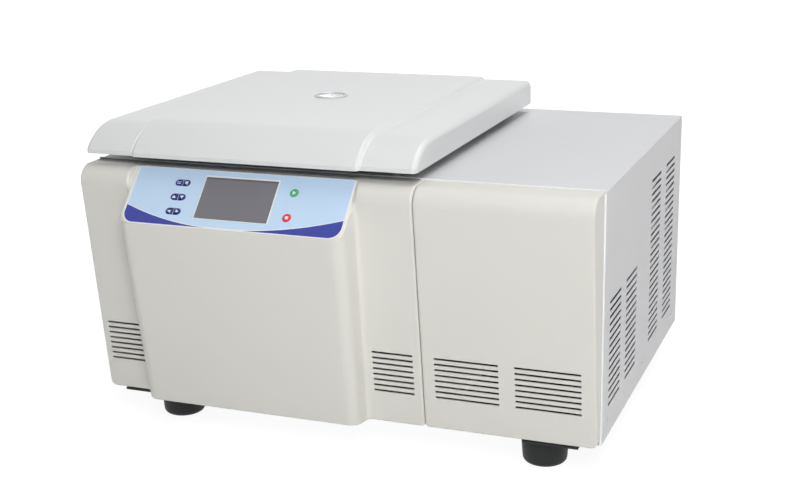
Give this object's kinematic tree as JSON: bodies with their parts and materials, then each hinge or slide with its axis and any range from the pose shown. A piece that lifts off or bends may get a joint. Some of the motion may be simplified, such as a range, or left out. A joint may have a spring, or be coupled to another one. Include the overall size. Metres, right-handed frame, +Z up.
{
  "type": "refrigerated centrifuge",
  "caption": "Benchtop refrigerated centrifuge with a swing-out rotor under a wide hinged lid, a tilted control panel on a front bulge and a louvred cooling bay.",
  "frame": {"origin": "on the bench, under the middle of the machine's overall box", "axes": "+X to the machine's right as seen from its front, +Y from its front to its back, +Z up"},
  "size_m": [0.752, 0.6356, 0.4578],
  "materials": {
    "moulding": "fine satin moulded, warm light grey",
    "cover_paint": "fine-textured powder coat, light grey",
    "lid_paint": "smooth satin, light grey",
    "black_steel": "black coat",
    "rubber": "matt black",
    "stainless": "brushed stainless",
    "zinc": "zinc plated",
    "aluminium": "machined",
    "copper": "drawn copper tube",
    "foam": "rigid foam",
    "overlay_film": "printed polyester film",
    "display_glass": "dark anti-glare window over the screen",
    "clear_glass": "clear",
    "key_blue": "embossed film",
    "key_green": "embossed film",
    "key_red": "embossed film",
    "board": "solder mask",
    "black_plastic": "moulded"
  },
  "bodies": {
    "cabinet": {"main_fascia": "moulding", "side_fascia": "moulding", "cabinet_cover": "cover_paint", "top_deck": "cover_paint", "left_side_panel": "cover_paint", "rear_panel": "cover_paint", "base_rail_left": "black_steel", "base_rail_right": "black_steel", "guard_ring": "black_steel", "hinge_bracket_left": "black_steel", "hinge_bracket_right": "black_steel", "compressor": "black_steel", "foot_front_left": "rubber", "foot_front_right": "rubber", "foot_rear_left": "rubber", "foot_rear_right": "rubber", "lid_gasket": "rubber", "fascia_strip": "rubber", "mouth_seal": "rubber", "motor_damper": "rubber", "chamber_bowl": "stainless", "hinge_torsion_bar": "stainless", "base_pan": "zinc", "bay_partition": "zinc", "fan_motor": "zinc", "drive_motor": "aluminium", "condenser": "aluminium", "evaporator_coil": "copper", "insulation": "foam", "control_overlay": "overlay_film", "display_glass": "display_glass", "control_board": "board", "power_inlet": "black_plastic", "latch_housing": "black_plastic", "fan_shroud": "black_plastic"},
    "lid": {"lid_shell": "lid_paint", "lid_liner": "stainless", "window_ring": "aluminium", "window_glass": "clear_glass", "lid_striker": "zinc", "hinge_arm_left": "zinc", "hinge_arm_right": "zinc"},
    "rotor": {"spindle": "stainless", "rotor_yoke": "aluminium", "rotor_nut": "black_plastic"},
    "bucket_1": {"bucket_1": "stainless"},
    "bucket_2": {"bucket_2": "stainless"},
    "bucket_3": {"bucket_3": "stainless"},
    "bucket_4": {"bucket_4": "stainless"},
    "key_1_left": {"key_1_left": "key_blue"},
    "key_1_right": {"key_1_right": "key_blue"},
    "key_2_left": {"key_2_left": "key_blue"},
    "key_2_right": {"key_2_right": "key_blue"},
    "key_3_left": {"key_3_left": "key_blue"},
    "key_3_right": {"key_3_right": "key_blue"},
    "start_key": {"start_key": "key_green"},
    "stop_key": {"stop_key": "key_red"},
    "latch_bolt": {"latch_bolt": "zinc"},
    "power_rocker": {"power_rocker": "black_plastic"},
    "fan_rotor": {"fan_rotor": "black_plastic"}
  },
  "joints": [
    {"name": "lid_hinge", "type": "hinge", "parent": "cabinet", "child": "lid", "pos_m": [-0.122, 0.2785, 0.4077], "axis": [-1, 0, 0], "range_deg": [0, 75], "stiffness_Nm_per_rad": 5, "springref_deg": 108.86},
    {"name": "rotor_spin", "type": "hinge", "parent": "cabinet", "child": "rotor", "pos_m": [-0.122, 0.0415, 0.32], "axis": [0, 0, 1], "continuous": true},
    {"name": "bucket_swing_1", "type": "hinge", "parent": "rotor", "child": "bucket_1", "pos_m": [-0.027, 0.0415, 0.32], "axis": [0, -1, 0], "range_deg": [0, 90]},
    {"name": "bucket_swing_2", "type": "hinge", "parent": "rotor", "child": "bucket_2", "pos_m": [-0.122, 0.1365, 0.32], "axis": [1, 0, 0], "range_deg": [0, 90]},
    {"name": "bucket_swing_3", "type": "hinge", "parent": "rotor", "child": "bucket_3", "pos_m": [-0.217, 0.0415, 0.32], "axis": [0, 1, 0], "range_deg": [0, 90]},
    {"name": "bucket_swing_4", "type": "hinge", "parent": "rotor", "child": "bucket_4", "pos_m": [-0.122, -0.0535, 0.32], "axis": [-1, 0, 0], "range_deg": [0, 90]},
    {"name": "key_1_left_press", "type": "slide", "parent": "cabinet", "child": "key_1_left", "axis": [0, 0.7193, -0.6947], "range_m": [0, 0.0005], "stiffness_N_per_m": 1500},
    {"name": "key_1_right_press", "type": "slide", "parent": "cabinet", "child": "key_1_right", "axis": [0, 0.7193, -0.6947], "range_m": [0, 0.0005], "stiffness_N_per_m": 1500},
    {"name": "key_2_left_press", "type": "slide", "parent": "cabinet", "child": "key_2_left", "axis": [0, 0.7193, -0.6947], "range_m": [0, 0.0005], "stiffness_N_per_m": 1500},
    {"name": "key_2_right_press", "type": "slide", "parent": "cabinet", "child": "key_2_right", "axis": [0, 0.7193, -0.6947], "range_m": [0, 0.0005], "stiffness_N_per_m": 1500},
    {"name": "key_3_left_press", "type": "slide", "parent": "cabinet", "child": "key_3_left", "axis": [0, 0.7193, -0.6947], "range_m": [0, 0.0005], "stiffness_N_per_m": 1500},
    {"name": "key_3_right_press", "type": "slide", "parent": "cabinet", "child": "key_3_right", "axis": [0, 0.7193, -0.6947], "range_m": [0, 0.0005], "stiffness_N_per_m": 1500},
    {"name": "start_key_press", "type": "slide", "parent": "cabinet", "child": "start_key", "axis": [0, 0.7193, -0.6947], "range_m": [0, 0.0005], "stiffness_N_per_m": 1500},
    {"name": "stop_key_press", "type": "slide", "parent": "cabinet", "child": "stop_key", "axis": [0, 0.7193, -0.6947], "range_m": [0, 0.0005], "stiffness_N_per_m": 1500},
    {"name": "latch_bolt_slide", "type": "slide", "parent": "cabinet", "child": "latch_bolt", "axis": [0, -1, 0], "range_m": [0, 0.0075]},
    {"name": "power_rocker_tilt", "type": "hinge", "parent": "cabinet", "child": "power_rocker", "pos_m": [-0.312, 0.3095, 0.1267], "axis": [1, 0, 0], "range_deg": [-9, 0]},
    {"name": "fan_spin", "type": "hinge", "parent": "cabinet", "child": "fan_rotor", "pos_m": [0.3169, 0.1715, 0.1877], "axis": [1, 0, 0], "continuous": true}
  ],
  "couplings": [
    {"joint": "bucket_swing_2", "follows": "bucket_swing_1", "ratio": 1},
    {"joint": "bucket_swing_3", "follows": "bucket_swing_1", "ratio": 1},
    {"joint": "bucket_swing_4", "follows": "bucket_swing_1", "ratio": 1}
  ]
}
